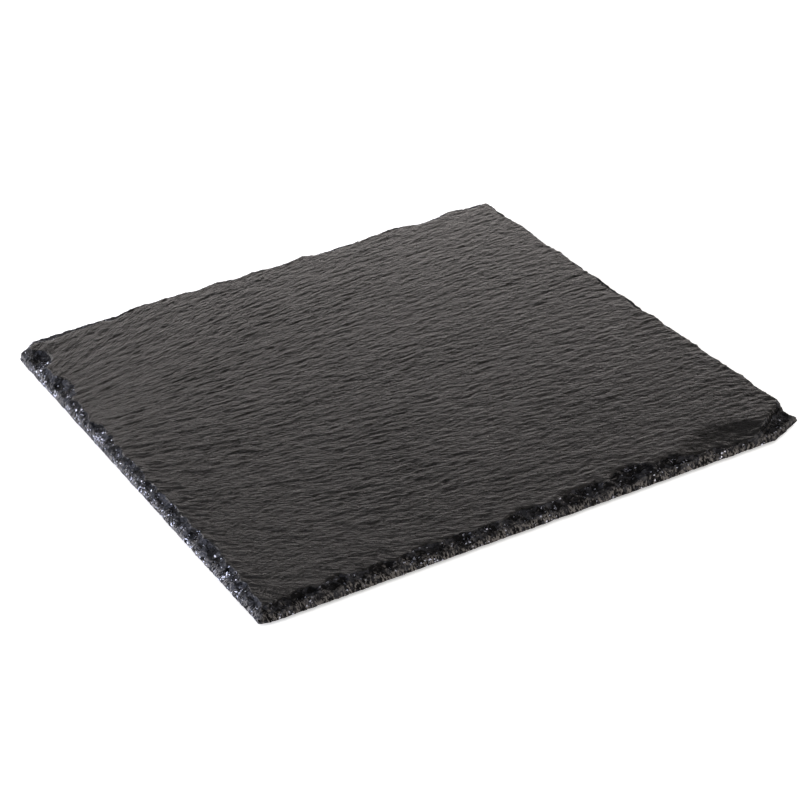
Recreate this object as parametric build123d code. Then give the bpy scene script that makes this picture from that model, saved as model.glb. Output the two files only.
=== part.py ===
from build123d import *
import math
import os
import random

# Slate serving board: a riven slab with hand-dressed edges that stands on four stick-on feet.
# Millimetres, +Z up. The front side runs along X and the left side along Y.
# The origin is on the table, under the middle of the board.

# Slab, measured at its lower arris
BOARD_LENGTH = 301.0
BOARD_WIDTH = 302.0
SLATE_THICKNESS = 7.0
EDGE_LEAN = 0.7

# The slab was cut by hand, so three sides run a little out of square
FRONT_SKEW = 2.0
BACK_SKEW = 2.0
RIGHT_SKEW = 3.0

# Knocked-off corners: the length missing along X and along Y
FRONT_LEFT_BREAK_X = 6.0
FRONT_LEFT_BREAK_Y = 1.5
FRONT_RIGHT_BREAK_X = 20.0
FRONT_RIGHT_BREAK_Y = 8.5
BACK_RIGHT_BREAK_X = 5.0
BACK_RIGHT_BREAK_Y = 3.0
BACK_LEFT_BREAK_X = 10.0
BACK_LEFT_BREAK_Y = 9.5

# Shelf at the front right corner, where a layer of the stone split off
SHELF_ALONG_FRONT = 29.0
SHELF_ALONG_RIGHT = 18.0
SHELF_DROP = 4.4
SHELF_FALL = 1.8
SHELF_WALL_RUN = 2.0

# Small chips dressed along the upper arris
CHIP_PITCH = 13.0
CHIP_LENGTH = 21.0
CHIP_DROP = 3.2
FRONT_CHIP_INSET = 4.6
RIGHT_CHIP_INSET = 2.0
BACK_CHIP_INSET = 2.2
LEFT_CHIP_INSET = 3.8
CORNER_CHIP_INSET = 3.0
CHIP_SPREAD = 0.25
CHIP_SEED = 7

# Larger flakes: the distance from the side's first corner, going counterclockwise, then the length,
# the inset on the face and the drop down the edge
FRONT_FLAKES = [
    (40.0, 18.0, 6.2, 2.8),
    (85.0, 17.0, 5.8, 2.6),
    (140.0, 27.0, 7.0, 2.8),
    (174.0, 31.0, 7.5, 3.0),
    (201.0, 30.0, 11.0, 3.0),
    (223.0, 25.0, 7.0, 2.8),
    (255.0, 64.0, 19.0, 2.4),
]
RIGHT_FLAKES = [
    (14.0, 17.0, 3.5, 9.0),
    (36.0, 15.0, 3.6, 3.2),
    (77.0, 24.0, 3.2, 3.0),
    (114.0, 17.0, 2.8, 3.0),
    (143.0, 30.0, 4.4, 3.4),
    (170.0, 36.0, 4.2, 3.4),
    (200.0, 30.0, 3.2, 3.2),
    (236.0, 40.0, 3.4, 3.2),
    (279.0, 40.0, 3.6, 3.4),
]
BACK_FLAKES = [
    (10.0, 28.0, 5.8, 3.4),
    (43.0, 36.0, 6.2, 3.6),
    (92.0, 32.0, 4.4, 3.2),
    (106.0, 38.0, 6.0, 3.4),
    (139.0, 34.0, 4.4, 3.2),
    (166.0, 28.0, 3.8, 3.2),
    (190.0, 20.0, 3.6, 3.2),
    (242.0, 23.0, 7.6, 3.4),
    (260.0, 36.0, 7.4, 3.6),
    (279.0, 54.0, 9.0, 3.6),
]
LEFT_FLAKES = [
    (25.0, 24.0, 10.5, 3.8),
    (60.0, 32.0, 8.5, 3.6),
    (240.0, 28.0, 6.0, 3.6),
]

# Stick-on feet and the adhesive discs that hold them
FOOT_DIAMETER = 16.0
FOOT_HEIGHT = 2.0
FOOT_TAPER = 0.4
FOOT_RIM_BEVEL = 0.5
FOOT_INSET = 28.0
ADHESIVE_THICKNESS = 0.2
ADHESIVE_MARGIN = 0.5

UNDERSIDE_Z = FOOT_HEIGHT + ADHESIVE_THICKNESS
TOP_Z = UNDERSIDE_Z + SLATE_THICKNESS
UP = Vector(0, 0, 1)


def slab_corners():
    """Corners of the slab's lower arris before they were knocked off, counterclockwise from front left."""
    half_length = BOARD_LENGTH / 2
    half_width = BOARD_WIDTH / 2
    return [
        Vector(-half_length, FRONT_SKEW - half_width),
        Vector(half_length, -half_width),
        Vector(half_length - RIGHT_SKEW, half_width),
        Vector(-half_length, half_width - BACK_SKEW),
    ]


def side_directions():
    """Directions of the front, right, back and left sides, counterclockwise."""
    corners = slab_corners()
    return [(corners[(side + 1) % 4] - corners[side]).normalized() for side in range(4)]


def lower_outline():
    """Points of the lower arris, two at each knocked-off corner."""
    front_left, front_right, back_right, back_left = slab_corners()
    along_front, along_right, along_back, along_left = side_directions()
    return [
        front_left - along_left * FRONT_LEFT_BREAK_Y,
        front_left + along_front * FRONT_LEFT_BREAK_X,
        front_right - along_front * FRONT_RIGHT_BREAK_X,
        front_right + along_right * FRONT_RIGHT_BREAK_Y,
        back_right - along_right * BACK_RIGHT_BREAK_Y,
        back_right + along_back * BACK_RIGHT_BREAK_X,
        back_left - along_back * BACK_LEFT_BREAK_X,
        back_left + along_left * BACK_LEFT_BREAK_Y,
    ]


def split_blank():
    """The slab as it is split and cut, with plain edges that lean in toward the top face."""
    lower = make_face(Polyline(*lower_outline(), close=True))
    upper = offset(lower, amount=-EDGE_LEAN, kind=Kind.INTERSECTION)
    return loft([Pos(0, 0, UNDERSIDE_Z) * lower, Pos(0, 0, TOP_Z) * upper])


def corner_shelf():
    """The split-off layer: its floor falls toward the front right corner and its wall leans back."""
    front_right = slab_corners()[1]
    along_front, along_right, _, _ = side_directions()
    on_front = front_right - along_front * SHELF_ALONG_FRONT
    on_right = front_right + along_right * SHELF_ALONG_RIGHT
    wall = (on_right - on_front).normalized()
    outward = wall.cross(UP)
    reach = outward.dot(front_right - on_front)
    lift = SLATE_THICKNESS
    profile = Polyline(
        (0, -SHELF_DROP),
        (2 * reach, -SHELF_DROP - 2 * SHELF_FALL),
        (2 * reach, lift),
        (-SHELF_WALL_RUN * (1 + lift / SHELF_DROP), lift),
        close=True,
    )
    end = on_right + wall * reach + UP * TOP_Z
    section = Plane(origin=end, x_dir=outward, z_dir=-wall) * make_face(profile)
    return extrude(section, amount=(on_right - on_front).length + 2 * reach, dir=-wall)


def chip(start, along, distance, length, inset, drop):
    """Ball that scoops one chip out of the upper arris of the side that begins at start.

    It passes through the chip's two ends on the arris, its deepest point on the top face
    and its lowest point on the edge.
    """
    inward = UP.cross(along)
    arris = start + along * distance + inward * EDGE_LEAN + UP * TOP_Z
    inward_reach = inset / 2 - length**2 / (8 * inset)
    rise = length**2 / (8 * drop) - drop / 2
    radius = math.hypot(inward_reach, length / 2, rise)
    centre = arris + inward * inward_reach + UP * rise
    return Plane(origin=centre, x_dir=UP, z_dir=along) * Sphere(radius)


def small_chips(start, end, chip_inset, seed):
    """A run of small chips from start to end, spaced and sized with a hand's spread."""
    along = (end - start).normalized()
    run = (end - start).length
    hand = random.Random(seed)
    count = max(1, round(run / CHIP_PITCH))
    chips = []
    for number in range(count):
        shift = CHIP_SPREAD * hand.uniform(-1, 1)
        distance = run * (number + 0.5 + shift) / count
        nominal = (CHIP_LENGTH, chip_inset, CHIP_DROP)
        sizes = [size * (1 + CHIP_SPREAD * hand.uniform(-1, 1)) for size in nominal]
        chips.append(chip(start, along, distance, *sizes))
    return chips


def slate_slab():
    """The slab with its upper arris chipped away all round and a layer gone from one corner."""
    outline = lower_outline()
    dressing = [
        (FRONT_CHIP_INSET, FRONT_FLAKES),
        (RIGHT_CHIP_INSET, RIGHT_FLAKES),
        (BACK_CHIP_INSET, BACK_FLAKES),
        (LEFT_CHIP_INSET, LEFT_FLAKES),
    ]
    scoops = []
    for side, (corner, along) in enumerate(zip(slab_corners(), side_directions())):
        chip_inset, flakes = dressing[side]
        break_start, side_start = outline[2 * side : 2 * side + 2]
        side_end = outline[(2 * side + 2) % len(outline)]
        scoops += small_chips(break_start, side_start, CORNER_CHIP_INSET, CHIP_SEED + 2 * side)
        scoops += small_chips(side_start, side_end, chip_inset, CHIP_SEED + 2 * side + 1)
        scoops += [chip(corner, along, *flake) for flake in flakes]
    slab = split_blank() - corner_shelf()
    for scoop in scoops:
        slab -= scoop
    return slab


def foot():
    """Soft foot, a little narrower at the table, with a bevelled lower rim."""
    body = Cone(
        FOOT_DIAMETER / 2 - FOOT_TAPER,
        FOOT_DIAMETER / 2,
        FOOT_HEIGHT,
        align=(Align.CENTER, Align.CENTER, Align.MIN),
    )
    lower_rim = body.edges().filter_by(GeomType.CIRCLE).sort_by(Axis.Z)[0]
    return chamfer(lower_rim, FOOT_RIM_BEVEL)


def adhesive_disc():
    """Thin disc between a foot and the underside of the slab."""
    disc = Cylinder(
        FOOT_DIAMETER / 2 - ADHESIVE_MARGIN,
        ADHESIVE_THICKNESS,
        align=(Align.CENTER, Align.CENTER, Align.MIN),
    )
    return Pos(0, 0, FOOT_HEIGHT) * disc


def foot_places():
    """Where each foot stands, set in from the slab's corners along X and Y."""
    names = ["front_left", "front_right", "back_right", "back_left"]
    insets = [(1, 1), (-1, 1), (-1, -1), (1, -1)]
    return {
        name: corner + Vector(across * FOOT_INSET, back * FOOT_INSET)
        for name, corner, (across, back) in zip(names, slab_corners(), insets)
    }


def board_nodes():
    """Every piece of the board, by name."""
    nodes = {"slate_slab": slate_slab()}
    for name, place in foot_places().items():
        nodes["foot_" + name] = Pos(place) * foot()
        nodes["adhesive_disc_" + name] = Pos(place) * adhesive_disc()
    return nodes


os.makedirs("parts", exist_ok=True)
for node, piece in board_nodes().items():
    export_step(piece, f"parts/{node}.step")
    box = piece.bounding_box()
    print(node, f"{piece.volume:.1f} mm3", len(piece.solids()), "solid", box.min, box.max)
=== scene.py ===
# %% [markdown]
# A slate serving board is one split sheet of stone on four small rubber feet. Its look comes from three
# kinds of surface: the riven face, rippled where the stone was split, the broken edge, where a blade
# struck off one flake after another, and the plain underside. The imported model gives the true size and
# the larger flakes. Here the slab gets a fine mesh over that same form, then finishes, a floor and light.

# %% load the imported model
import math

import bpy
import numpy as np
from mathutils import Matrix, Vector
from mathutils.bvhtree import BVHTree


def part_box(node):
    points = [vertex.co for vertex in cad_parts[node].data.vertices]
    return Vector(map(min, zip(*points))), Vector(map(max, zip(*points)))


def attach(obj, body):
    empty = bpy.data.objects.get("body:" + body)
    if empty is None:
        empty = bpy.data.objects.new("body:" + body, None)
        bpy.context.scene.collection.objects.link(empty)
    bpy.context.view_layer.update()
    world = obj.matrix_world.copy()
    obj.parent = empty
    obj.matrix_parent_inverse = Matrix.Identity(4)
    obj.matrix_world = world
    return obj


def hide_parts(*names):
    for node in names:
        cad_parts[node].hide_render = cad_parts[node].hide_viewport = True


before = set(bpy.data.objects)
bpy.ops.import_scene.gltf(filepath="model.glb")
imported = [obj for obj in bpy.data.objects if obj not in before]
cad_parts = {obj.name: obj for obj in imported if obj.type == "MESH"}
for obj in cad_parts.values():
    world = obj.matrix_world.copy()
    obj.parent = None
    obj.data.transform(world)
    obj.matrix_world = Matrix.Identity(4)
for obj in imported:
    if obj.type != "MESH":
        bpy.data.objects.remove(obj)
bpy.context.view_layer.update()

MM = 0.001
print("nodes:", sorted(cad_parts))

# %% [markdown]
# The camera comes first, because everything after it is judged through it. The board is seen from its front
# left, a little above thirty degrees up, through a long lens, so its sides stay almost parallel. A camera
# could be aimed with a constraint. Here its three axes are worked out from two angles and a small roll,
# which gives the same picture each time.

# %% camera
CAMERA_AZIMUTH = math.radians(-27.52)
CAMERA_ELEVATION = math.radians(30.60)
CAMERA_ROLL = math.radians(-3.59)
CAMERA_DISTANCE = 1251.6 * MM
CAMERA_SHIFT_RIGHT = 3.55 * MM
CAMERA_SHIFT_UP = -4.45 * MM
CAMERA_LENS = 108.66
CAMERA_SENSOR = 36.0
NEAREST_SEEN = 0.01
FARTHEST_SEEN = 100.0


def camera_axes(azimuth, elevation, roll):
    """The directions to the picture's right, to its top and back to the viewer."""
    back = Vector((
        math.sin(azimuth) * math.cos(elevation),
        -math.cos(azimuth) * math.cos(elevation),
        math.sin(elevation),
    ))
    level_right = Vector((math.cos(azimuth), math.sin(azimuth), 0.0))
    level_up = back.cross(level_right)
    right = level_right * math.cos(roll) + level_up * math.sin(roll)
    up = level_up * math.cos(roll) - level_right * math.sin(roll)
    return right, up, back


def place_camera():
    """A long lens at the viewing angle, aimed at the middle of the board."""
    right, up, back = camera_axes(CAMERA_AZIMUTH, CAMERA_ELEVATION, CAMERA_ROLL)
    lens = bpy.data.cameras.new("board_camera")
    lens.lens = CAMERA_LENS
    lens.sensor_width = CAMERA_SENSOR
    lens.clip_start = NEAREST_SEEN
    lens.clip_end = FARTHEST_SEEN
    camera = bpy.data.objects.new("board_camera", lens)
    spot = back * CAMERA_DISTANCE + right * CAMERA_SHIFT_RIGHT + up * CAMERA_SHIFT_UP
    turn = Matrix((right, up, back)).transposed().to_4x4()
    camera.matrix_world = Matrix.Translation(spot) @ turn
    bpy.context.scene.collection.objects.link(camera)
    bpy.context.scene.camera = camera
    return camera


camera = place_camera()
print("camera at", [round(c, 3) for c in camera.matrix_world.translation])

# %% [markdown]
# The slab's mesh is built in three parts and then closed: a band that wraps the broken edge and the rim of
# the face, a fine grid over the rest of the face, and a coarse one underneath. A voxel remesh would be
# quicker to write, but it spends as many faces on the flat underside as on the edge. The band needs the
# outline of the slab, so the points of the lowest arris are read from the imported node, and the four long
# sides are carried on until they meet where the corners would be if they were whole.

# %% outline of the slab
slab_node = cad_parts["slate_slab"]
slab_low, slab_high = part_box("slate_slab")
LONG_SIDE = 100 * MM
SAME_HEIGHT = 0.02 * MM
SAME_PLACE_DIGITS = 7
QUARTER_TURN = math.pi / 2


def lower_arris(node):
    """The points of the slab's lowest outline, counterclockwise."""
    points = np.array([v.co for v in node.data.vertices])
    outline = points[points[:, 2] < slab_low.z + SAME_HEIGHT][:, :2]
    outline = np.unique(np.round(outline, SAME_PLACE_DIGITS), axis=0)
    return outline[np.argsort(np.arctan2(outline[:, 1], outline[:, 0]))]


def long_sides(outline):
    """The start and direction of the front, right, back and left side."""
    steps = np.roll(outline, -1, axis=0) - outline
    longest = np.flatnonzero(np.hypot(steps[:, 0], steps[:, 1]) > LONG_SIDE)
    sides = [(outline[k], steps[k] / np.hypot(*steps[k])) for k in longest]
    return sorted(sides, key=lambda side: round(math.atan2(side[1][1], side[1][0]) / QUARTER_TURN) % 4)


def crossing(side, other):
    """The point where the lines along two sides meet."""
    lengths = np.linalg.solve(np.column_stack([side[1], -other[1]]), other[0] - side[0])
    return side[0] + lengths[0] * side[1]


def corners_of(sides):
    """The corner at the start of each side, with the side before it."""
    return np.array([crossing(sides[k - 1], sides[k]) for k in range(4)])


def moved_in(sides, inset):
    """The four sides, moved in from the edge."""
    return [(start + inset * np.array([-way[1], way[0]]), way) for start, way in sides]


outline = lower_arris(slab_node)
sides = long_sides(outline)
whole_corners = corners_of(sides)
print("corners, mm:", np.round(whole_corners / MM, 1).tolist())

# %% [markdown]
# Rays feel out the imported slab. Across the band they fall inward at forty-five degrees, because such a ray
# meets the edge, a flake scar or the face exactly once, wherever the flakes lie. The columns of the band
# stand square to the sides and fan out a little at the corners, so that none of them cross.

# %% base form of the edge band
RIM_WIDTH = 14 * MM
CORNER_FAN = 30 * MM
COLUMN_PITCH = 0.85 * MM
EDGE_REACH = 12.5 * MM
EDGE_PITCH = 0.55 * MM
FACE_PITCH = 0.9 * MM
CLEAR = 5 * MM
thickness = slab_high.z - slab_low.z

bpy.context.view_layer.update()
slab_tree = BVHTree.FromObject(slab_node, bpy.context.evaluated_depsgraph_get())


def hit(origin, direction):
    """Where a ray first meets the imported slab."""
    spot = slab_tree.ray_cast(Vector(origin), Vector(direction).normalized())[0]
    return None if spot is None else np.array(spot)


def face_height(x, y):
    """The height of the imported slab's upper side at a place on the board."""
    spot = hit((x, y, slab_high.z + CLEAR), (0, 0, -1))
    return slab_high.z if spot is None else spot[2]


def band_columns():
    """For each column: its place on the whole outline, on the inner rim, and how far round it is."""
    inner_corners = corners_of(moved_in(sides, RIM_WIDTH))
    outer, inner, round_at = [], [], []
    for k in range(4):
        start, end = whole_corners[k], whole_corners[(k + 1) % 4]
        length = np.hypot(*(end - start))
        along = np.linspace(0, length, round(length / COLUMN_PITCH), endpoint=False)
        fanned = np.interp(
            along,
            [0, CORNER_FAN, length - CORNER_FAN, length],
            [RIM_WIDTH, CORNER_FAN, length - CORNER_FAN, length - RIM_WIDTH],
        )
        share = (fanned - RIM_WIDTH) / (length - 2 * RIM_WIDTH)
        outer.append(start + np.outer(along / length, end - start))
        inner.append(inner_corners[k] + np.outer(share, inner_corners[(k + 1) % 4] - inner_corners[k]))
        round_at.append(k + share)
    return np.concatenate(outer), np.concatenate(inner), np.concatenate(round_at)


def band_rows():
    """The rows from the lower arris to the inner rim, as shares of the way: close together on the edge."""
    reach = thickness + RIM_WIDTH
    edge = np.arange(0, EDGE_REACH, EDGE_PITCH)
    face = np.linspace(EDGE_REACH, reach, round((reach - EDGE_REACH) / FACE_PITCH))
    return np.concatenate([edge, face]) / reach


def feel_band(outer, inner, rows):
    """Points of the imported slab's edge, one column after another, from the lower arris up and inward."""
    band = np.zeros((len(outer), len(rows), 3))
    for j, (start, stop) in enumerate(zip(outer, inner)):
        run = np.hypot(*(stop - start))
        way = (stop - start) / run
        arris = hit((*(start - way * CLEAR), slab_low.z + SAME_HEIGHT), (*way, 0))
        broken_off = float(np.dot(arris[:2] - start, way))
        top = face_height(*stop)
        far = run + top - slab_low.z
        for i, row in enumerate(broken_off + rows * (far - broken_off)):
            lift = thickness + CLEAR
            origin = start + way * (row - lift)
            spot = hit((*origin, slab_low.z + lift), (*way, -1))
            band[j, i] = arris if spot is None else spot
        band[j, 0] = (*arris[:2], slab_low.z)
        band[j, -1] = (*stop, top)
    return band


outer_guide, inner_guide, round_at = band_columns()
rows = band_rows()
base_band = feel_band(outer_guide, inner_guide, rows)
print("edge band:", base_band.shape[0], "columns of", base_band.shape[1], "points")

# %% [markdown]
# Stone needs irregular patterns, and two kinds are enough here. Gradient noise rolls smoothly up and down
# and makes ripples and grain. Scattered cells have a point each and meet at creases, so they make chips and
# crystal facets. Blender's textures have both, but here they move points, so they are written out in numpy.
# Each pattern has a seed of its own, so the stone comes out the same every time.

# %% noise and cells
TABLE = 256
NOISE_GAIN = 1.5
CELL_MARGIN = 0.1


def rolling_noise(u, v, seed):
    """Smooth noise over two directions, about -1 to 1, with one roll in a unit."""
    turns = np.random.default_rng(seed).uniform(0, 2 * math.pi, (TABLE, TABLE))
    cell_u, cell_v = np.floor(u).astype(int), np.floor(v).astype(int)
    in_u, in_v = u - cell_u, v - cell_v
    ease_u = in_u ** 3 * (in_u * (in_u * 6 - 15) + 10)
    ease_v = in_v ** 3 * (in_v * (in_v * 6 - 15) + 10)

    def pull(a, b):
        """The height that one corner of a noise square gives to the places inside it."""
        turn = turns[(cell_u + a) % TABLE, (cell_v + b) % TABLE]
        return np.cos(turn) * (in_u - a) + np.sin(turn) * (in_v - b)

    low = pull(0, 0) * (1 - ease_u) + pull(1, 0) * ease_u
    high = pull(0, 1) * (1 - ease_u) + pull(1, 1) * ease_u
    return NOISE_GAIN * (low * (1 - ease_v) + high * ease_v)


def scattered_cells(u, v, seed):
    """For each place: how far the nearest cell's point is, the way from it, and its three numbers."""
    chance = np.random.default_rng(seed)
    spots = chance.uniform(CELL_MARGIN, 1 - CELL_MARGIN, (TABLE, TABLE, 2))
    traits = chance.uniform(-1, 1, (TABLE, TABLE, 3))
    cell_u, cell_v = np.floor(u).astype(int), np.floor(v).astype(int)
    nearest = np.full(u.shape, np.inf)
    way = np.zeros(u.shape + (2,))
    own = np.zeros(u.shape + (3,))
    for a in (-1, 0, 1):
        for b in (-1, 0, 1):
            spot = spots[(cell_u + a) % TABLE, (cell_v + b) % TABLE]
            du = u - (cell_u + a + spot[..., 0])
            dv = v - (cell_v + b + spot[..., 1])
            gap = np.hypot(du, dv)
            closer = gap < nearest
            nearest = np.where(closer, gap, nearest)
            way[closer] = np.stack([du, dv], axis=-1)[closer]
            own[closer] = traits[(cell_u + a) % TABLE, (cell_v + b) % TABLE][closer]
    return nearest, way, own


def ease(low, high, value):
    """0 below low, 1 above high and smooth between."""
    share = np.clip((value - low) / (high - low), 0, 1)
    return share * share * (3 - 2 * share)


trial = np.linspace(0, 20, 201)
trial_noise = rolling_noise(*np.meshgrid(trial, trial), 1)
print("noise from", trial_noise.min().round(2), "to", trial_noise.max().round(2))

# %% [markdown]
# Slate splits along thin layers, and the split runs from one layer to the next in small steps. That leaves
# ripples on the face, which run along the board and fan out from the middle of its left side. Each ripple
# rises slowly and then drops, so its steep side faces the front. The fan is a bent coordinate: it counts
# the ripples one crosses on the way over the face, and the noise is read in it. Where the fan crowds the
# ripples they also stand a little higher, and those too fine for the mesh fade out.

# %% ripples of the riven face
FAN_HEIGHT = 47 * MM
FAN_SPREAD = 62 * MM
FAN_BACK_STRENGTH = 1.6
FAN_BACK_FADE = 70 * MM
FAN_FRONT_STRENGTH = 1.0
FAN_FRONT_FADE = 50 * MM
DRIFT_HEIGHT = 60 * MM
DRIFT_LENGTH = 850 * MM
RIPPLES = (  # length, pitch, height, steepness
    (24 * MM, 12.0 * MM, 0.145 * MM, 0.10),
    (16 * MM, 6.0 * MM, 0.13 * MM, 0.12),
    (9.0 * MM, 3.5 * MM, 0.145 * MM, 0.15),
    (6.0 * MM, 2.1 * MM, 0.195 * MM, 0.15),
    (4.0 * MM, 1.6 * MM, 0.185 * MM, 0.15),
)
RIPPLE_OFFSET = 0.37
RIPPLE_SEED = 20
WAVERS = (  # sway, length, pitch
    (1.2 * MM, 14 * MM, 8 * MM),
    (0.8 * MM, 4.5 * MM, 4 * MM),
)
WAVER_SEED = 11
FINEST_PITCH = 1.3 * MM
FINE_FADE = 0.6
WIDEST_PITCH = 8.0 * MM
WIDE_FADE = 1.3
CROWDED_RISE = 0.35
FACE_SINK = 0.20 * MM


def fan_coordinate(x, y):
    """The place across the ripples, and how much closer than at the middle of the board they lie there."""
    apart = np.exp(-x / DRIFT_LENGTH)
    out = (y - FAN_HEIGHT) / FAN_SPREAD
    strength = np.where(out > 0, FAN_BACK_STRENGTH, FAN_FRONT_STRENGTH)
    fade = np.where(out > 0, FAN_BACK_FADE, FAN_FRONT_FADE)
    bend = strength * np.exp(-(x - slab_low.x) / fade)
    place = DRIFT_HEIGHT + (y - DRIFT_HEIGHT) * apart + bend * FAN_SPREAD * np.tanh(out)
    return place, apart + bend / np.cosh(out) ** 2


def ripple_height(x, y):
    """The height of the riven face over the plain one."""
    across, squeeze = fan_coordinate(x, y)
    waver = np.zeros_like(x)
    for seed, (sway, length, pitch) in enumerate(WAVERS, WAVER_SEED):
        waver += sway * rolling_noise(x / length, across / pitch, seed)
    total = np.zeros_like(x)
    for order, (length, pitch, height, steepness) in enumerate(RIPPLES):
        u = x / length + RIPPLE_OFFSET * order
        v = (across + waver) / pitch
        lean = steepness * rolling_noise(u, v, RIPPLE_SEED + order)
        seen = pitch / squeeze
        fine_enough = 1 - ease(WIDEST_PITCH, WIDE_FADE * WIDEST_PITCH, seen)
        wide_enough = ease(FINE_FADE * FINEST_PITCH, FINEST_PITCH, seen)
        total += wide_enough * fine_enough * height * rolling_noise(u, v + lean, RIPPLE_SEED + order)
    return total * squeeze ** CROWDED_RISE - FACE_SINK


sample = np.linspace(-100 * MM, 100 * MM, 200)
sample_height = ripple_height(*np.meshgrid(sample, sample))
print("ripples, mm:", np.round(np.ptp(sample_height) / MM, 2), "from low to high")

# %% [markdown]
# The edge was struck with a blade. The lower arris stayed nearly straight, and the break runs up and inward
# from it to a ragged border with the face. First each point of the band is measured: which way its surface
# faces, how far round and up it lies, and whether it is on the break, which is steep, or on the face.

# %% lie of the broken edge
TINY = 1e-12
STEEP = 0.94
ARRIS_RAGGED = 1.3 * MM
RAGGED_LENGTH = 3.1 * MM
RAGGED_SEED = 31
BORDER_OUTSIDE = -0.6 * MM
BORDER_INSIDE = 0.9 * MM
FRONT_RIGHT, BACK_LEFT = 1, 3  # corners, counted round from the front left
SHELF_REACH = 26 * MM
CORNER_HIGHLIGHT_REACH = 11 * MM


def surface_normals(band):
    """The outward direction at each point of the band."""
    around = np.roll(band, -1, axis=0) - np.roll(band, 1, axis=0)
    inward = np.gradient(band, axis=1)
    normals = np.cross(around, inward)
    return normals / np.maximum(np.linalg.norm(normals, axis=2, keepdims=True), TINY)


def way_along(band):
    """The distance round the slab and the distance up its edge, for each point."""
    steps = np.linalg.norm(np.diff(band, axis=1, prepend=band[:, :1]), axis=2)
    up = np.cumsum(steps, axis=1)
    round_step = np.linalg.norm(np.roll(outer_guide, -1, axis=0) - outer_guide, axis=1)
    along = np.concatenate([[0], np.cumsum(round_step)[:-1]])
    return np.repeat(along[:, None], band.shape[1], axis=1), up


def brokenness(band, along, up):
    """1 on the broken edge, which is steep, and 0 on the riven face, with a ragged border."""
    steep = surface_normals(band)[..., 2] < STEEP
    arris = np.max(np.where(steep, up, 0), axis=1, keepdims=True)
    ragged = ARRIS_RAGGED * rolling_noise(along / RAGGED_LENGTH, up / RAGGED_LENGTH, RAGGED_SEED)
    return 1 - ease(BORDER_OUTSIDE, BORDER_INSIDE, up - arris - ragged)


def near_corner(corner, reach):
    """1 at a corner of the board, fading to 0 over a reach."""
    return np.exp(-(np.linalg.norm(base_band[..., :2] - corner, axis=2) / reach) ** 2)


along, up = way_along(base_band)
broken = brokenness(base_band, along, up)
shelf = near_corner(whole_corners[FRONT_RIGHT], SHELF_REACH)
# a painted highlight at the back left corner: a pool of light painted into the edge's colour
corner_highlight = near_corner(whole_corners[BACK_LEFT], CORNER_HIGHLIGHT_REACH)
print("broken:", round(100 * float((broken > 0.5).mean())), "% of the band's points")

# %% [markdown]
# Each blow took off a flake and left a hollow like a shallow shell, with fine rings in it and a sharp ridge
# where two hollows meet. Over the large flakes of the imported slab come smaller ones, crystal facets a few
# millimetres wide, thin layers, and slanting strokes low down, where the blade crushed the stone. At the
# front right a corner split off along the layers, so this shelf has layers and hardly any flakes. A
# displace modifier could do this with textures. Here each effect is a short function, and their sum pushes
# the band's points along the surface's own direction. How high each point then stands out is kept, because
# the ridges get a paler finish, partly wear and partly a painted highlight, and so does the back left
# corner, where the pale is a painted highlight only.

# %% flakes
FLAKE_SIZES = (  # length, rise, depth
    (8.5 * MM, 5.0 * MM, 0.75 * MM),
    (4.2 * MM, 2.9 * MM, 0.40 * MM),
)
FLAKE_SEED = 40
FLAKE_MEAN = 0.75
FLAKE_SPREAD = 0.5
FLAKE_ROUND = 1.6
RING_HEIGHT = 0.06 * MM
RINGS = 5


def struck_flakes():
    """The hollows of the flakes, below zero, with their rings."""
    total = np.zeros(along.shape)
    for seed, (length, rise, depth) in enumerate(FLAKE_SIZES, FLAKE_SEED):
        gap, _, own = scattered_cells(along / length, up / rise, seed)
        own_depth = depth * (FLAKE_MEAN + FLAKE_SPREAD * own[..., 0])
        hollow = own_depth * np.clip(1 - gap * gap * FLAKE_ROUND, 0, 1)
        total += RING_HEIGHT * np.sin(2 * math.pi * RINGS * gap) - hollow
    return total


print("flakes up to", np.round(-struck_flakes().min() / MM, 2), "mm deep")

# %% facets, strokes and layers
FACET_SIZE = 2.3 * MM
FACET_TILT = 0.30 * MM
FACET_STEP = 0.3
FACET_SEED = 45
STROKE_PITCH = 0.95 * MM
STROKE_LENGTH = 3.4 * MM
STROKE_SLANT = 0.8
STROKE_HEIGHT = 0.16 * MM
STROKE_SEED = 47
LAYER_PITCH = 1.1 * MM
LAYER_HEIGHT = 0.10 * MM
LAYER_SWAY = 0.5 * MM
LAYER_LENGTH = 14 * MM
LAYER_SEED = 48


def crystal_facets():
    """Small flat facets, each tipped and raised its own way."""
    _, way, own = scattered_cells(along / FACET_SIZE, up / FACET_SIZE, FACET_SEED)
    tilt = own[..., 0] * way[..., 0] + own[..., 1] * way[..., 1]
    return FACET_TILT * (tilt + FACET_STEP * own[..., 2])


def blade_strokes():
    """Slanting strokes of the blade."""
    slanted = along + STROKE_SLANT * up
    return STROKE_HEIGHT * rolling_noise(slanted / STROKE_PITCH, up / STROKE_LENGTH, STROKE_SEED)


def stone_layers(height):
    """Thin layers of the stone, each with a small step to the next."""
    sway = LAYER_SWAY * rolling_noise(along / LAYER_LENGTH, height * 2, LAYER_SEED)
    return LAYER_HEIGHT * ((height * thickness + sway) / LAYER_PITCH % 1 - 0.5)


for effect in (crystal_facets, blade_strokes):
    print(effect.__name__, "up to", np.round(effect().max() / MM, 2), "mm high")

# %% weathered band
RIDGE_STAND = 0.30 * MM
LOWER_STAND = 0.90 * MM
LOWER_HEIGHTS = (0.3, 0.8)  # shares of the slab's height
CRUSHED_HEIGHTS = (0.25, 0.6)
STRUCK_HEIGHTS = (0.0, 0.4)
STRUCK_LOW = 0.3
SHELF_FLAKES, SHELF_FACETS, SHELF_LAYERS = 0.2, 0.3, 5


def on_shelf(strength):
    """How strong an effect is on the split shelf, fading to 1 over the rest of the edge."""
    return 1 + (strength - 1) * shelf


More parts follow.
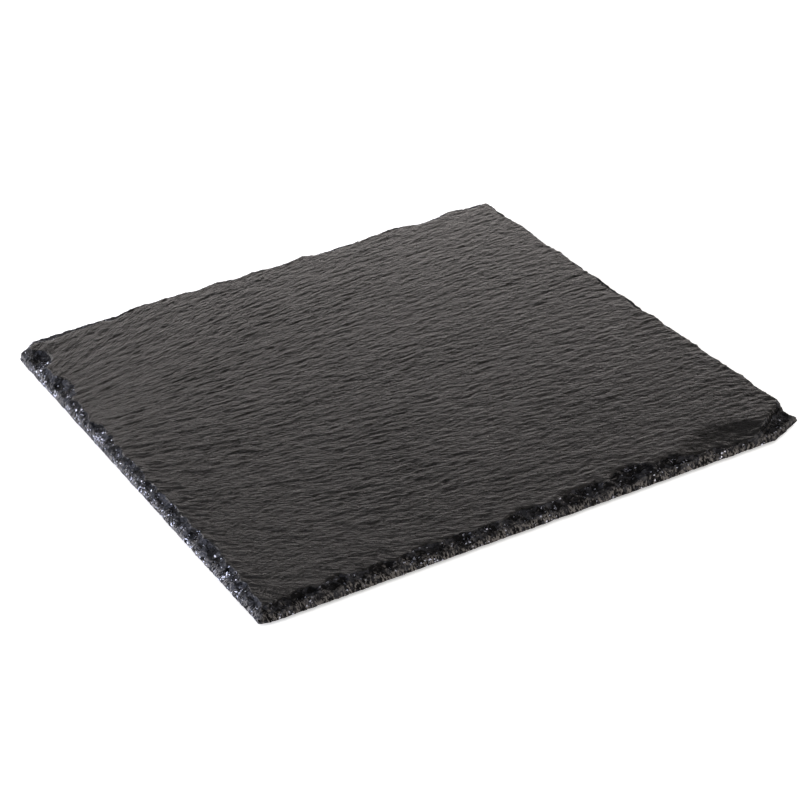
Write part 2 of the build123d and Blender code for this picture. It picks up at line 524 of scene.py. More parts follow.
def edge_relief(height):
    """How far the broken edge stands out from its base form, by its share of the slab's height."""
    struck = STRUCK_LOW + (1 - STRUCK_LOW) * ease(*STRUCK_HEIGHTS, height)
    crushed = 1 - ease(*CRUSHED_HEIGHTS, height)
    relief = RIDGE_STAND + struck * on_shelf(SHELF_FLAKES) * struck_flakes()
    relief += on_shelf(SHELF_FACETS) * crystal_facets() + on_shelf(SHELF_LAYERS) * stone_layers(height)
    relief += crushed * blade_strokes()
    return relief + LOWER_STAND * (1 - ease(*LOWER_HEIGHTS, height))


def weathered(band):
    """The band with its flakes and facets on the break and its ripples on the face."""
    height = (band[..., 2] - slab_low.z) / thickness
    relief = edge_relief(height) * broken
    push = surface_normals(band)
    push[:, 0, 2] = 0
    moved = band + relief[..., None] * push
    moved[..., 2] += ripple_height(moved[..., 0], moved[..., 1]) * (1 - broken)
    moved[:, 0, 2] = slab_low.z
    return moved


band = weathered(base_band)
print("broken edge: points pushed by up to", np.round(np.abs(band - base_band).max() / MM, 2), "mm")

# %% ridges
RIDGE_LOW = 0.10 * MM
RIDGE_HIGH = 0.32 * MM
RIDGE_STEPS = 2


def standing_out(band):
    """How far each point stands out from those a few steps away: ridges above zero, hollows below."""
    row_numbers = np.arange(band.shape[1])
    above = band[:, np.minimum(row_numbers + RIDGE_STEPS, row_numbers[-1])]
    below = band[:, np.maximum(row_numbers - RIDGE_STEPS, 0)]
    beside = np.roll(band, RIDGE_STEPS, axis=0) + np.roll(band, -RIDGE_STEPS, axis=0)
    return np.sum((band - (beside + above + below) / 4) * surface_normals(band), axis=2)


# pale ridges: partly wear, partly a painted highlight on the edges that stand out
pale_ridge_and_highlight = ease(RIDGE_LOW, RIDGE_HIGH, standing_out(band))
# the painted highlight of the back left corner is carried with the pale ridges
pale_ridge_and_highlight = np.maximum(pale_ridge_and_highlight, corner_highlight) * broken
print("ridges on", round(100 * float((pale_ridge_and_highlight > 0.5).sum() / (broken > 0.5).sum())), "% of the broken edge")

# %% [markdown]
# The rest of the face is a plain grid inside the band, closer across the ripples than along them, because
# a ripple is short that way. Blender's own grid is a rectangle, and the board isn't quite one, so the
# points are spread between its four corners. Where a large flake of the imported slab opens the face, the
# ripples are a little lower.

# %% grid over the face
FACE_STEP_X = 2.15 * MM
FACE_STEP_Y = 0.68 * MM
SCAR_SHALLOW = 0.05 * MM
SCAR_DEEP = 0.45 * MM
SCAR_SMOOTH = 0.2


def corner_grid(corners, step_x, step_y):
    """Points spread evenly between four corners, row by row from the front."""
    count_x = round(np.hypot(*(corners[1] - corners[0])) / step_x) + 1
    count_y = round(np.hypot(*(corners[2] - corners[1])) / step_y) + 1
    s = np.linspace(0, 1, count_x)[None, :, None]
    t = np.linspace(0, 1, count_y)[:, None, None]
    front = corners[0] * (1 - s) + corners[1] * s
    back = corners[3] * (1 - s) + corners[2] * s
    return front * (1 - t) + back * t


face_plan = corner_grid(corners_of(moved_in(sides, RIM_WIDTH + FACE_PITCH)), FACE_STEP_X, FACE_STEP_Y)
face_base = np.array([[face_height(x, y) for x, y in row] for row in face_plan])
face_scar = ease(SCAR_SHALLOW, SCAR_DEEP, slab_high.z - face_base)
face_rise = ripple_height(face_plan[..., 0], face_plan[..., 1]) * (1 - SCAR_SMOOTH * face_scar)
face = np.dstack([face_plan, face_base + face_rise])
print("face grid:", face.shape[0], "rows of", face.shape[1], "points")

# %% [markdown]
# The underside is a coarser grid of the same kind. It was split too, but its ripples are low and only cut
# inward, and they fade out round the feet, which need a flat place to stick to.

# %% grid over the underside
UNDER_STEP = 5.0 * MM
UNDER_INSET = 3.0 * MM + RIM_WIDTH / 2
UNDER_DEPTH = 0.30 * MM
UNDER_LENGTH = 60 * MM
UNDER_PITCH = 17 * MM
UNDER_SEED = 61
FOOT_CLEAR = 9.0 * MM

foot_middles = []
for name in sorted(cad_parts):
    if name.startswith("foot_"):
        low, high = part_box(name)
        foot_middles.append((np.array(low) + np.array(high))[:2] / 2)

under_plan = corner_grid(corners_of(moved_in(sides, UNDER_INSET)), UNDER_STEP, UNDER_STEP)
foot_gap = np.min([np.linalg.norm(under_plan - middle, axis=2) for middle in foot_middles], axis=0)
under_wave = rolling_noise(under_plan[..., 0] / UNDER_LENGTH, under_plan[..., 1] / UNDER_PITCH, UNDER_SEED)
under_cut = UNDER_DEPTH * (0.5 + 0.5 * np.clip(under_wave, -1, 1))
under_cut *= ease(FOOT_CLEAR, 2 * FOOT_CLEAR, foot_gap)
under = np.dstack([under_plan, slab_low.z + under_cut])
print("underside grid:", under.shape[0], "rows of", under.shape[1], "points")

# %% [markdown]
# Now the parts become one closed mesh. Band and grids have different spacing, so a zip of triangles joins
# each pair of borders: it walks round both and always steps along the one that is behind.

# %% one closed slab
ALL_ROUND = 4.0


def border_of(count_y, count_x):
    """The numbers of a grid's border points, counterclockwise, and how far round each is."""
    number = np.arange(count_x * count_y).reshape(count_y, count_x)
    runs = [number[0, :-1], number[:-1, -1], number[-1, :0:-1], number[:0:-1, 0]]
    at = [k + np.arange(len(run)) / len(run) for k, run in enumerate(runs)]
    return np.concatenate(runs), np.concatenate(at)


def grid_faces(count_y, count_x):
    """The four-sided faces of a grid, seen from above."""
    number = np.arange(count_x * count_y).reshape(count_y, count_x)
    return np.stack([number[:-1, :-1], number[:-1, 1:], number[1:, 1:], number[1:, :-1]], -1).reshape(-1, 4)


def zip_rings(outer, outer_at, inner, inner_at):
    """Triangles between an outer and an inner ring of points, seen from above."""
    outer, inner = [*outer, outer[0]], [*inner, inner[0]]
    outer_at, inner_at = [*outer_at, ALL_ROUND], [*inner_at, ALL_ROUND]
    triangles, a, b = [], 0, 0
    while a < len(outer) - 1 or b < len(inner) - 1:
        step_outer = b == len(inner) - 1 or (a < len(outer) - 1 and outer_at[a + 1] <= inner_at[b + 1])
        if step_outer:
            triangles.append((outer[a], outer[a + 1], inner[b]))
            a += 1
        else:
            triangles.append((outer[a], inner[b + 1], inner[b]))
            b += 1
    return np.array(triangles)


columns, row_count = band.shape[:2]
band_number = np.arange(columns * row_count).reshape(columns, row_count)
next_number = np.roll(band_number, -1, axis=0)
band_quads = np.stack(
    [band_number[:, :-1], next_number[:, :-1], next_number[:, 1:], band_number[:, 1:]], -1
).reshape(-1, 4)
face_start = columns * row_count
under_start = face_start + face.shape[0] * face.shape[1]
face_quads = grid_faces(*face.shape[:2]) + face_start
under_quads = grid_faces(*under.shape[:2])[:, ::-1] + under_start
face_border, face_at = border_of(*face.shape[:2])
under_border, under_at = border_of(*under.shape[:2])
face_zip = zip_rings(band_number[:, -1], round_at, face_border + face_start, face_at)
under_zip = zip_rings(band_number[:, 0], round_at, under_border + under_start, under_at)[:, ::-1]

points = np.concatenate([band.reshape(-1, 3), face.reshape(-1, 3), under.reshape(-1, 3)])
quad_count = len(band_quads) + len(face_quads) + len(under_quads)
print("slab:", len(points), "points,", 2 * quad_count + len(face_zip) + len(under_zip), "triangles")

# %% [markdown]
# The slab has three finishes, so each face of the mesh gets the number of its own. The break is shaded
# flat, because its facets are flat, and the rest smoothly. Some numbers have to reach the finishes: where
# the stone is freshly broken, where a ridge or the painted highlight of the back left corner lies, where the
# shelf lies, and the bent coordinate of the ripples. They could be painted by hand as masks. Here they are
# known already, so the mesh carries them at its points.

# %% slab with its finish numbers
RIVEN, BROKEN, UNDERSIDE = 0, 1, 2
SCAR_FRESH = 0.5


def at_points(band_numbers, face_numbers=None):
    """Numbers of the band, and of the face where it has any, carried to all points of the slab."""
    numbers = np.zeros(len(points), np.float32)
    numbers[:face_start] = band_numbers.reshape(-1)
    if face_numbers is not None:
        numbers[face_start:under_start] = face_numbers.reshape(-1)
    return numbers


def store(mesh, name, kind, field, numbers):
    """Keeps one number or vector for each point of a mesh, under a name that a material can read."""
    mesh.attributes.new(name, kind, "POINT").data.foreach_set(field, numbers)


def build_slab():
    """The slab as one mesh, with the numbers that its finishes read stored on its points."""
    blocks = [band_quads, face_quads, under_quads, face_zip, under_zip]
    faces = [tuple(int(n) for n in numbers) for block in blocks for numbers in block]
    mesh = bpy.data.meshes.new("slate_slab_riven")
    mesh.from_pydata(points.tolist(), [], faces)
    mostly_broken = broken.reshape(-1)[band_quads].mean(axis=1) > 0.5
    finish = np.concatenate([
        np.where(mostly_broken, BROKEN, RIVEN),
        np.full(len(face_quads), RIVEN),
        np.full(len(under_quads), UNDERSIDE),
        np.full(len(face_zip), RIVEN),
        np.full(len(under_zip), UNDERSIDE),
    ]).astype(np.int32)
    mesh.polygons.foreach_set("material_index", finish)
    mesh.polygons.foreach_set("use_smooth", finish != BROKEN)
    across = fan_coordinate(points[:, 0], points[:, 1])[0]
    cleavage = np.column_stack([points[:, 0], across, points[:, 2]]).astype(np.float32)
    band_scar = ease(SCAR_SHALLOW, SCAR_DEEP, slab_high.z - base_band[..., 2])
    fresh = at_points(np.maximum(broken, SCAR_FRESH * band_scar), SCAR_FRESH * face_scar)
    store(mesh, "cleavage", "FLOAT_VECTOR", "vector", cleavage.reshape(-1))
    store(mesh, "broken", "FLOAT", "value", fresh)
    store(mesh, "pale_ridge_and_highlight", "FLOAT", "value", at_points(pale_ridge_and_highlight))
    store(mesh, "shelf", "FLOAT", "value", at_points(shelf))
    mesh.update()
    slab = bpy.data.objects.new("slate_slab_riven", mesh)
    bpy.context.scene.collection.objects.link(slab)
    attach(slab, "root")
    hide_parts("slate_slab")
    return slab


slab = build_slab()
print("slab size, mm:", [round(d / MM, 2) for d in slab.dimensions])

# %% [markdown]
# The finishes are trees of shader nodes. They can be drawn by hand in the shader editor. In code a few
# helpers let one line add one node, and read like the sum that it stands for.

# %% node helpers
MIX_SHARE, MIX_FIRST, MIX_SECOND, MIX_RESULT = 0, 6, 7, 2  # the mix node's sockets for colours


def new_node(tree, kind, **settings):
    """A node with its settings; a setting whose name is a socket's sets that socket."""
    node = tree.nodes.new(kind)
    for name, value in settings.items():
        if hasattr(node, name):
            setattr(node, name, value)
        else:
            node.inputs[name].default_value = value
    return node


def math_node(tree, operation, *values):
    """One step of arithmetic; each value is a socket or a number."""
    node = new_node(tree, "ShaderNodeMath", operation=operation)
    for socket, value in zip(node.inputs, values):
        if isinstance(value, (int, float)):
            socket.default_value = value
        else:
            tree.links.new(value, socket)
    return node.outputs[0]


def product(tree, first, *others):
    """Several values multiplied."""
    for other in others:
        first = math_node(tree, "MULTIPLY", first, other)
    return first


def weighted_sum(tree, first, first_weight, second, second_weight):
    """Two values added, each with its own weight."""
    return math_node(tree, "MULTIPLY_ADD", first, first_weight, product(tree, second, second_weight))


def ramp(tree, value, low, high, new_low=0.0, new_high=1.0):
    """A value carried from one range to another, and held at its ends."""
    node = new_node(tree, "ShaderNodeMapRange", interpolation_type="SMOOTHSTEP")
    tree.links.new(value, node.inputs["Value"])
    for name, number in (("From Min", low), ("From Max", high), ("To Min", new_low), ("To Max", new_high)):
        node.inputs[name].default_value = number
    return node.outputs[0]


def mix_colour(tree, share, first, second):
    """A mix of two colours; each is a socket or a colour."""
    node = new_node(tree, "ShaderNodeMix", data_type="RGBA")
    tree.links.new(share, node.inputs[MIX_SHARE])
    for number, colour in ((MIX_FIRST, first), (MIX_SECOND, second)):
        if isinstance(colour, tuple):
            node.inputs[number].default_value = (*colour, 1.0)
        else:
            tree.links.new(colour, node.inputs[number])
    return node.outputs[MIX_RESULT]


helpers = (new_node, math_node, product, weighted_sum, ramp, mix_colour)
print("node helpers:", [helper.__name__ for helper in helpers])

# %% [markdown]
# Patterns that several finishes share are node groups. The first is the grain of slate: streaks along the
# ripples, a fine grain and a broad tone. Each is noise whose steps are longer along the ripples than across
# them. It is read at the bent coordinate that the mesh carries, so it follows the fan of the ripples.

# %% slate grain group
VALUE, VECTOR = "NodeSocketFloat", "NodeSocketVector"
STREAKS_TO_METRE = (320.0, 640.0, 640.0)  # along the ripples, across them and through the layers
GRAINS_TO_METRE = (900.0, 1500.0, 1500.0)
TONES_TO_METRE = (13.0, 22.0, 22.0)


def new_group(name, inputs, outputs):
    """An empty shader node group with named sockets."""
    tree = bpy.data.node_groups.new(name, "ShaderNodeTree")
    for label, kind in inputs:
        tree.interface.new_socket(name=label, in_out="INPUT", socket_type=kind)
    for label, kind in outputs:
        tree.interface.new_socket(name=label, in_out="OUTPUT", socket_type=kind)
    return tree, tree.nodes.new("NodeGroupInput"), tree.nodes.new("NodeGroupOutput")


def noise_at(tree, place, scale, detail, roughness=0.55):
    """Noise read at a place, about 0 to 1."""
    node = new_node(tree, "ShaderNodeTexNoise", Scale=scale, Detail=detail, Roughness=roughness)
    tree.links.new(place, node.inputs["Vector"])
    return node.outputs[0]


def stretched(tree, place, factors):
    """A place measured in other steps along each of its three directions."""
    node = new_node(tree, "ShaderNodeVectorMath", operation="MULTIPLY")
    tree.links.new(place, node.inputs[0])
    node.inputs[1].default_value = factors
    return node.outputs[0]


def make_slate_grain():
    """Streaks, fine grain and broad tone of slate."""
    tree, given, made = new_group("slate_grain", [("Place", VECTOR)], [
        ("Streaks", VALUE), ("Grain", VALUE), ("Tone", VALUE),
    ])
    place = given.outputs["Place"]
    streaks = noise_at(tree, stretched(tree, place, STREAKS_TO_METRE), 1.0, 2.0, 0.6)
    grain = noise_at(tree, stretched(tree, place, GRAINS_TO_METRE), 1.0, 3.0, 0.6)
    tone = noise_at(tree, stretched(tree, place, TONES_TO_METRE), 1.0, 3.0, 0.5)
    tree.links.new(streaks, made.inputs["Streaks"])
    tree.links.new(grain, made.inputs["Grain"])
    tree.links.new(tone, made.inputs["Tone"])
    return tree


slate_grain = make_slate_grain()
print("node group:", slate_grain.name, [socket.name for socket in slate_grain.interface.items_tree])

# %% [markdown]
# Fresh breaks glitter, because slate is full of thin mica plates that lie at slightly different angles.
# The glint group splits the surface into tiny cells with ragged borders. It puts out a mask of the few
# cells that catch the light, a height whose slope tips each cell its own way, and a painted light and shade
# for each larger facet, lighter or darker as if it caught the light at its own angle.

# %% mica glint group
FACETS_TO_METRE = 330.0
PLATES_TO_METRE = 1500.0
PLATE_RAGGED = 1.2 * MM


def cells_at(tree, place, scale):
    """Scattered cells read at a place: how far the cell's middle is, and its three chance numbers."""
    cells = new_node(tree, "ShaderNodeTexVoronoi", Scale=scale)
    tree.links.new(place, cells.inputs["Vector"])
    chances = new_node(tree, "ShaderNodeSeparateColor")
    tree.links.new(cells.outputs["Color"], chances.inputs[0])
    return cells.outputs["Distance"], chances.outputs


def ragged_place(tree, place):
    """A place moved a little by noise, which makes the borders of the plates uneven."""
    noise = new_node(tree, "ShaderNodeTexNoise", Scale=PLATES_TO_METRE, Detail=1.0)
    tree.links.new(place, noise.inputs["Vector"])
    moved = new_node(tree, "ShaderNodeVectorMath", operation="MULTIPLY_ADD")
    tree.links.new(noise.outputs["Color"], moved.inputs[0])
    moved.inputs[1].default_value = (PLATE_RAGGED, PLATE_RAGGED, PLATE_RAGGED)
    tree.links.new(place, moved.inputs[2])
    return moved.outputs[0]


def make_mica_glints():
    """Tiny plates of mica: which ones shine, how each is tipped, and painted light and shade for their
    facets.
    """
    tree, given, made = new_group("mica_glints", [("Place", VECTOR), ("Share", VALUE)], [
        ("Glint", VALUE), ("Tilt height", VALUE), ("Painted facet shade", VALUE),
    ])
    place = given.outputs["Place"]
    facet_chances = cells_at(tree, place, FACETS_TO_METRE)[1]
    plate_gap, plate_chances = cells_at(tree, ragged_place(tree, place), PLATES_TO_METRE)
    shown = math_node(tree, "LESS_THAN", plate_chances[0], given.outputs["Share"])
    tree.links.new(shown, made.inputs["Glint"])
    tree.links.new(product(tree, plate_gap, plate_chances[1]), made.inputs["Tilt height"])
    tree.links.new(facet_chances[0], made.inputs["Painted facet shade"])
    return tree


mica_glints = make_mica_glints()
print("node group:", mica_glints.name, [socket.name for socket in mica_glints.interface.items_tree])

# %% [markdown]
# The riven face is a dark warm grey with a low sheen, and darker in the fresh scar of a flake. Its tone
# changes slowly over the board and the streaks follow the ripples. The grain is far finer than the mesh, so
# it goes into the bump and the roughness.

# %% riven face
DARK_FACE = (0.018, 0.0175, 0.017)
PALE_FACE = (0.043, 0.0405, 0.0400)
FRESH_FACE = (0.013, 0.013, 0.013)
NOISE_SPAN = (0.35, 0.65)  # most noise lies between these
FACE_SPECULAR = 0.217
FACE_ROUGHNESS = (0.26, 0.44)
FACE_BUMP = 0.65 * MM


def new_finish(name):
    """A material with its tree and its shader."""
    material = bpy.data.materials.new(name)
    material.use_nodes = True
    tree = material.node_tree
    return material, tree, tree.nodes["Principled BSDF"]


def slate_place(tree):
    """The bent coordinate along and across the ripples."""
    return new_node(tree, "ShaderNodeAttribute", attribute_name="cleavage").outputs["Vector"]


def carried(tree, name):
    """A number that the mesh carries at its points."""
    return new_node(tree, "ShaderNodeAttribute", attribute_name=name).outputs["Fac"]


def place_group(tree, group, place):
    """A node group set into a material and read at a place."""
    node = new_node(tree, "ShaderNodeGroup", node_tree=group)
    tree.links.new(place, node.inputs["Place"])
    return node


def bump_from(tree, shader, height, distance):
    """Feeds a height to the shader's normal."""
    bump = new_node(tree, "ShaderNodeBump", Strength=1.0, Distance=distance)
    tree.links.new(height, bump.inputs["Height"])
    tree.links.new(bump.outputs["Normal"], shader.inputs["Normal"])


def riven_face():
    """The split face: streaked dark grey with a low sheen."""
    material, tree, shader = new_finish("riven_slate_face")
    grain = place_group(tree, slate_grain, slate_place(tree))
    streaks = grain.outputs["Streaks"]
    tone = weighted_sum(tree, streaks, 0.55, grain.outputs["Tone"], 0.45)
    stone = mix_colour(tree, ramp(tree, tone, *NOISE_SPAN), DARK_FACE, PALE_FACE)
    stone = mix_colour(tree, carried(tree, "broken"), stone, FRESH_FACE)
    rough = ramp(tree, grain.outputs["Grain"], *NOISE_SPAN, *FACE_ROUGHNESS)
    tree.links.new(stone, shader.inputs["Base Color"])
    tree.links.new(rough, shader.inputs["Roughness"])
    shader.inputs["Specular IOR Level"].default_value = FACE_SPECULAR
    bump_from(tree, shader, weighted_sum(tree, streaks, 0.85, grain.outputs["Grain"], 0.15), FACE_BUMP)
    return material


slab.data.materials.append(riven_face())
print("face finish:", slab.data.materials[RIVEN].name)

# %% [markdown]
# The broken edge is a patchwork of dark and pale facets: partly the stone's own streaks, and partly painted
# light and shade, each facet lighter or darker as if it caught the light at its own angle. Its ridges are
# pale, partly from wear and partly a painted highlight. Low down the blade crushed the stone to pale specks
# of dust. Mica shines in patches, mostly on the lower half of the edge; fewer plates shine on the front
# side, as painted shade. On the split shelf there is neither dust nor mica. A mask could be painted by hand,
# but noise, height and direction give the same spread, and fit any other slab too.

# %% dust and mica on the broken edge
SHINING_SHARE = (0.015, 0.17)  # of the plates, between the patches and inside them
PATCHES_TO_METRE = 130.0
SHINE_LESS = 5.5 * MM
SHINE_FULL = 3.0 * MM
SHINE_BY_HEIGHT = (0.4, 1.1)
FRONT_SHADE_SHINE = 0.3
DUST_TO_METRE = (150.0, 150.0, 220.0)
DUST_RAGGED = 9.0 * MM
DUST_ENDS = 0.2 * MM
DUST_FULL = -2.2 * MM


def axis_of(tree, vector, axis):
    """One of the three numbers of a vector."""
    split = new_node(tree, "ShaderNodeSeparateXYZ")
    tree.links.new(vector, split.inputs[0])
    return split.outputs[axis]


def shining_share(tree, spot, height, plain):
    """The share of the mica plates that shine: more in patches and low down, fewer on the front side as
    painted shade.
    """
    patches = ramp(tree, noise_at(tree, spot, PATCHES_TO_METRE, 2.0), 0.45, 0.66, *SHINING_SHARE)
    lower = ramp(tree, height, slab_low.z + SHINE_LESS, slab_low.z + SHINE_FULL, *SHINE_BY_HEIGHT)
    facing_back = axis_of(tree, new_node(tree, "ShaderNodeNewGeometry").outputs["Normal"], "Y")
    # fewer plates shine on the front side: painted shade, not a trait of the stone
    painted_front_shade = ramp(tree, facing_back, -0.6, -0.1, FRONT_SHADE_SHINE, 1.0)
    return product(tree, patches, lower, plain, painted_front_shade)


def crushed_dust(tree, place, height, strokes, plain):
    """Where pale dust lies: in specks, below a ragged line low on the edge."""
    ragged = noise_at(tree, stretched(tree, place, DUST_TO_METRE), 1.0, 2.0)
    line = math_node(tree, "MULTIPLY_ADD", ragged, -DUST_RAGGED, height)
    low = ramp(tree, line, slab_low.z + DUST_ENDS, slab_low.z + DUST_FULL)
    return product(tree, low, ramp(tree, strokes, 0.49, 0.57), plain)


print("mica shines most up to", SHINE_FULL / MM, "mm above the lower arris")

# %% [markdown]
# Then the finish itself. The colours are laid over each other: facets with their painted light and shade,
# pale ridges that are wear with a painted highlight, dust, and last the mica. A plate that shines is partly
# metallic and smoother than the stone round it, because it mirrors a lamp as foil does. The stone itself
# has almost no gloss.

# %% broken edge finish
DARK_BREAK = (0.011, 0.011, 0.012)
# its blue tint is partly painted cool light, as on the left edge
PALE_BREAK = (0.057, 0.059, 0.069)
# the colour of the pale ridges: partly wear, partly a painted highlight
RIDGE_WEAR_AND_HIGHLIGHT = (0.14, 0.137, 0.14)
CRUSHED = (0.23, 0.22, 0.215)
# its blue tint is painted cool light, since the shining plates lie mostly on the left edge
MICA = (0.60, 0.62, 0.74)
STROKES_TO_METRE = (900.0, 900.0, 420.0)
STONE_ROUGHNESS = 0.62
MICA_ROUGHNESS = 0.30
MICA_METALLIC = 0.6
BREAK_SPECULAR = 0.03
BREAK_BUMP = 0.9 * MM


def broken_edge():
    """The struck edge: facets with painted light and shade, ridges of wear with a painted highlight, crushed
    dust and glints of mica.
    """
    material, tree, shader = new_finish("broken_slate_edge")
    place = slate_place(tree)
    spot = new_node(tree, "ShaderNodeTexCoord").outputs["Object"]
    height = axis_of(tree, place, "Z")
    plain = math_node(tree, "SUBTRACT", 1.0, carried(tree, "shelf"))
    strokes = noise_at(tree, stretched(tree, place, STROKES_TO_METRE), 1.0, 2.0)
    grain = place_group(tree, slate_grain, place)
    glints = place_group(tree, mica_glints, spot)
    tree.links.new(shining_share(tree, spot, height, plain), glints.inputs["Share"])
    glint = glints.outputs["Glint"]

    # the facets' tone is painted light and shade; the streaks are the stone's own
    tone = weighted_sum(tree, grain.outputs["Streaks"], 0.5, glints.outputs["Painted facet shade"], 0.35)
    stone = mix_colour(tree, ramp(tree, tone, 0.36, 0.62), DARK_BREAK, PALE_BREAK)
    # paler on ridges and at the back left corner: wear with a painted highlight
    wear_and_highlight = product(tree, carried(tree, "pale_ridge_and_highlight"), ramp(tree, strokes, 0.38, 0.52))
    stone = mix_colour(tree, wear_and_highlight, stone, RIDGE_WEAR_AND_HIGHLIGHT)
    stone = mix_colour(tree, crushed_dust(tree, place, height, strokes, plain), stone, CRUSHED)
    tree.links.new(mix_colour(tree, glint, stone, MICA), shader.inputs["Base Color"])

    rough = ramp(tree, glint, 0.0, 1.0, STONE_ROUGHNESS, MICA_ROUGHNESS)
    tree.links.new(rough, shader.inputs["Roughness"])
    tree.links.new(ramp(tree, glint, 0.0, 1.0, 0.0, MICA_METALLIC), shader.inputs["Metallic"])
    shader.inputs["Specular IOR Level"].default_value = BREAK_SPECULAR
    relief = weighted_sum(tree, glints.outputs["Tilt height"], 0.4, strokes, 0.6)
    bump_from(tree, shader, relief, BREAK_BUMP)
    return material


slab.data.materials.append(broken_edge())
print("edge finish:", slab.data.materials[BROKEN].name)

# %% [markdown]
# The underside was split and never handled, so it is like the face without its sheen, with a few paler
# streaks.

# %% riven underside
UNDER_ROUGHNESS = (0.50, 0.66)
UNDER_STREAKED = 0.7
UNDER_BUMP = 0.9 * MM


def riven_underside():
    """The split underside: dull dark grey with pale streaks."""
    material, tree, shader = new_finish("riven_slate_underside")
    grain = place_group(tree, slate_grain, slate_place(tree))
    streaks = grain.outputs["Streaks"]
    stone = mix_colour(tree, ramp(tree, grain.outputs["Tone"], *NOISE_SPAN), DARK_FACE, PALE_FACE)
    stone = mix_colour(tree, ramp(tree, streaks, 0.52, 0.68, 0.0, UNDER_STREAKED), stone, PALE_BREAK)
    rough = ramp(tree, grain.outputs["Grain"], 0.3, 0.7, *UNDER_ROUGHNESS)
    tree.links.new(stone, shader.inputs["Base Color"])
    tree.links.new(rough, shader.inputs["Roughness"])
    bump_from(tree, shader, streaks, UNDER_BUMP)
    return material


slab.data.materials.append(riven_underside())
print("slab finishes:", [material.name for material in slab.data.materials])

# %% [markdown]
# The feet are small moulded pads of soft black rubber on discs of pale tape. Their packed forms are right,
# so only their finish is added: a dull colour with a little dust on it, and a fine grain in the bump.

# %% feet and tape finishes
RUBBER = (0.026, 0.026, 0.028)
RUBBER_DUST = (0.075, 0.073, 0.070)
RUBBER_TO_METRE = 1800.0
RUBBER_ROUGHNESS = 0.72
RUBBER_BUMP = 0.08 * MM
TAPE = (0.62, 0.60, 0.54)
TAPE_DULL = (0.50, 0.48, 0.42)
TAPE_TO_METRE = 900.0
TAPE_ROUGHNESS = 0.50
TAPE_BUMP = 0.03 * MM
GRAINS_TO_DUST = 6
ROUGHNESS_SWING = 0.08


def soft_finish(name, colour, dusty, grains, roughness, bump_height):
    """A dull finish with patches of dust and a fine grain."""
    material, tree, shader = new_finish(name)
    place = new_node(tree, "ShaderNodeTexCoord").outputs["Object"]
    dust = ramp(tree, noise_at(tree, place, grains / GRAINS_TO_DUST, 3.0), 0.45, 0.75)
    grain = noise_at(tree, place, grains, 2.0)
    rough = ramp(tree, grain, 0.3, 0.7, roughness - ROUGHNESS_SWING, roughness + ROUGHNESS_SWING)
    tree.links.new(mix_colour(tree, dust, colour, dusty), shader.inputs["Base Color"])
    tree.links.new(rough, shader.inputs["Roughness"])
    bump_from(tree, shader, grain, bump_height)
    return material


FINISHES = {
    "foot_": soft_finish(
        "moulded_rubber", RUBBER, RUBBER_DUST, RUBBER_TO_METRE, RUBBER_ROUGHNESS, RUBBER_BUMP
    ),
    "adhesive_disc_": soft_finish(
        "adhesive_tape", TAPE, TAPE_DULL, TAPE_TO_METRE, TAPE_ROUGHNESS, TAPE_BUMP
    ),
}
for start, finish in FINISHES.items():
    dressed = [node for name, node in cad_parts.items() if name.startswith(start)]
    for node in dressed:
        node.data.materials.clear()
        node.data.materials.append(finish)
    print(finish.name, "on", len(dressed), "nodes")

# %% [markdown]
# The board lies on plain white paper. To make paper white by lamps alone would take too much light on the
# board, so the paper also glows, but only to the camera and in mirrors and glass. Close under the edge of
# the board the glow fades by ambient occlusion: a painted contact shadow, the thin dark line under the edge.

# %% floor
FLOOR_SIZE = 12.0
PAPER = (0.86, 0.86, 0.86)
PAPER_GLOW = 0.88
CONTACT_REACH = 4.5 * MM
CONTACT_SAMPLES = 16
CONTACT_GLOW = 0.35
CONTACT_CLOSED = 0.18
CONTACT_OPEN = 0.58


def white_paper():
    """White paper that glows a little where it is seen, with a painted contact shadow close under the board.
    """
    material = bpy.data.materials.new("white_paper")
    material.use_nodes = True
    tree = material.node_tree
    tree.nodes.clear()
    paper = new_node(tree, "ShaderNodeBsdfDiffuse", Color=(*PAPER, 1.0))
    glow = new_node(tree, "ShaderNodeEmission")
    rays = new_node(tree, "ShaderNodeLightPath")
    seen = math_node(tree, "MAXIMUM", rays.outputs["Is Camera Ray"], rays.outputs["Is Glossy Ray"])
    seen = math_node(tree, "MAXIMUM", seen, rays.outputs["Is Transmission Ray"])
    contact = new_node(
        tree, "ShaderNodeAmbientOcclusion", samples=CONTACT_SAMPLES, Distance=CONTACT_REACH
    )
    # the glow dims by ambient occlusion under the board's edge: a painted contact shadow
    away = ramp(tree, contact.outputs["AO"], CONTACT_CLOSED, CONTACT_OPEN, CONTACT_GLOW, 1.0)
    tree.links.new(product(tree, seen, away, PAPER_GLOW), glow.inputs["Strength"])
    both = new_node(tree, "ShaderNodeAddShader")
    tree.links.new(paper.outputs[0], both.inputs[0])
    tree.links.new(glow.outputs[0], both.inputs[1])
    out = new_node(tree, "ShaderNodeOutputMaterial")
    tree.links.new(both.outputs[0], out.inputs["Surface"])
    return material


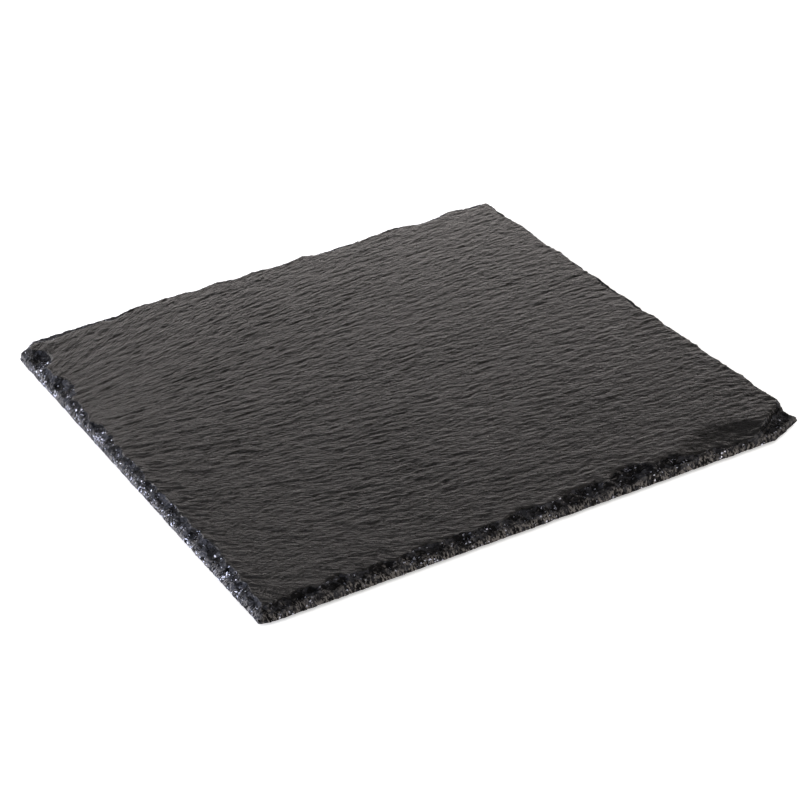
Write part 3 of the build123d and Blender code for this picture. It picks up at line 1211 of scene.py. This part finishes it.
half = FLOOR_SIZE / 2
floor_corners = [(-half, -half, 0), (half, -half, 0), (half, half, 0), (-half, half, 0)]
floor_mesh = bpy.data.meshes.new("floor")
floor_mesh.from_pydata(floor_corners, [], [(0, 1, 2, 3)])
floor_mesh.materials.append(white_paper())
floor = bpy.data.objects.new("floor", floor_mesh)
bpy.context.scene.collection.objects.link(floor)
print("floor of", FLOOR_SIZE, "m")

# %% [markdown]
# The light is soft and comes from all round. The key lamp stands low at the back left, and a wide flat one
# low and close behind the board. The face meets both at a glancing angle, so it gets a sheen that fades
# towards the front, and each ripple shows. A cool lamp lights the left edge and a warm one the front edge.
# These two are large for their power, so that the face mirrors them only faintly when it is seen from the
# other side. A weak lamp overhead and a dim sky fill the rest.

# %% lamps and surroundings
WORLD_COLOUR = (0.92, 0.96, 1.0)
WORLD_STRENGTH = 0.08
LAMPS = {  # place, width, height, power, colour
    "key_softbox": ((-1.05, 1.65, 0.42), 0.9, 0.3, 29.0, (1.0, 0.96, 0.935)),
    "overhead_softbox": ((-0.3, 0.35, 1.5), 1.2, 1.2, 2.2, (1.0, 0.97, 0.94)),
    "back_softbox": ((0.25, 0.56, 0.13), 1.3, 0.10, 2.0, (1.0, 0.93, 0.90)),
    "left_softbox": ((-1.35, 0.45, 0.14), 1.1, 0.32, 23.5, (0.80, 0.84, 1.0)),
    "front_fill": ((0.9, -1.2, 0.20), 1.8, 0.5, 17.0, (1.0, 0.92, 0.84)),
}


def soft_lamp(name, spot, width, height, power, colour):
    """A rectangular soft lamp that faces the middle of the board."""
    light = bpy.data.lights.new(name, "AREA")
    light.shape = "RECTANGLE"
    light.size = width
    light.size_y = height
    light.energy = power
    light.color = colour
    lamp = bpy.data.objects.new(name, light)
    lamp.location = spot
    lamp.rotation_euler = Vector(spot).to_track_quat("Z", "Y").to_euler()
    bpy.context.scene.collection.objects.link(lamp)


for name, lamp in LAMPS.items():
    soft_lamp(name, *lamp)
world = bpy.data.worlds.new("studio")
bpy.context.scene.world = world
world.use_nodes = True
sky = world.node_tree.nodes["Background"]
sky.inputs["Color"].default_value = (*WORLD_COLOUR, 1.0)
sky.inputs["Strength"].default_value = WORLD_STRENGTH
bpy.context.scene.view_settings.view_transform = "Standard"
print("lamps:", sorted(LAMPS))
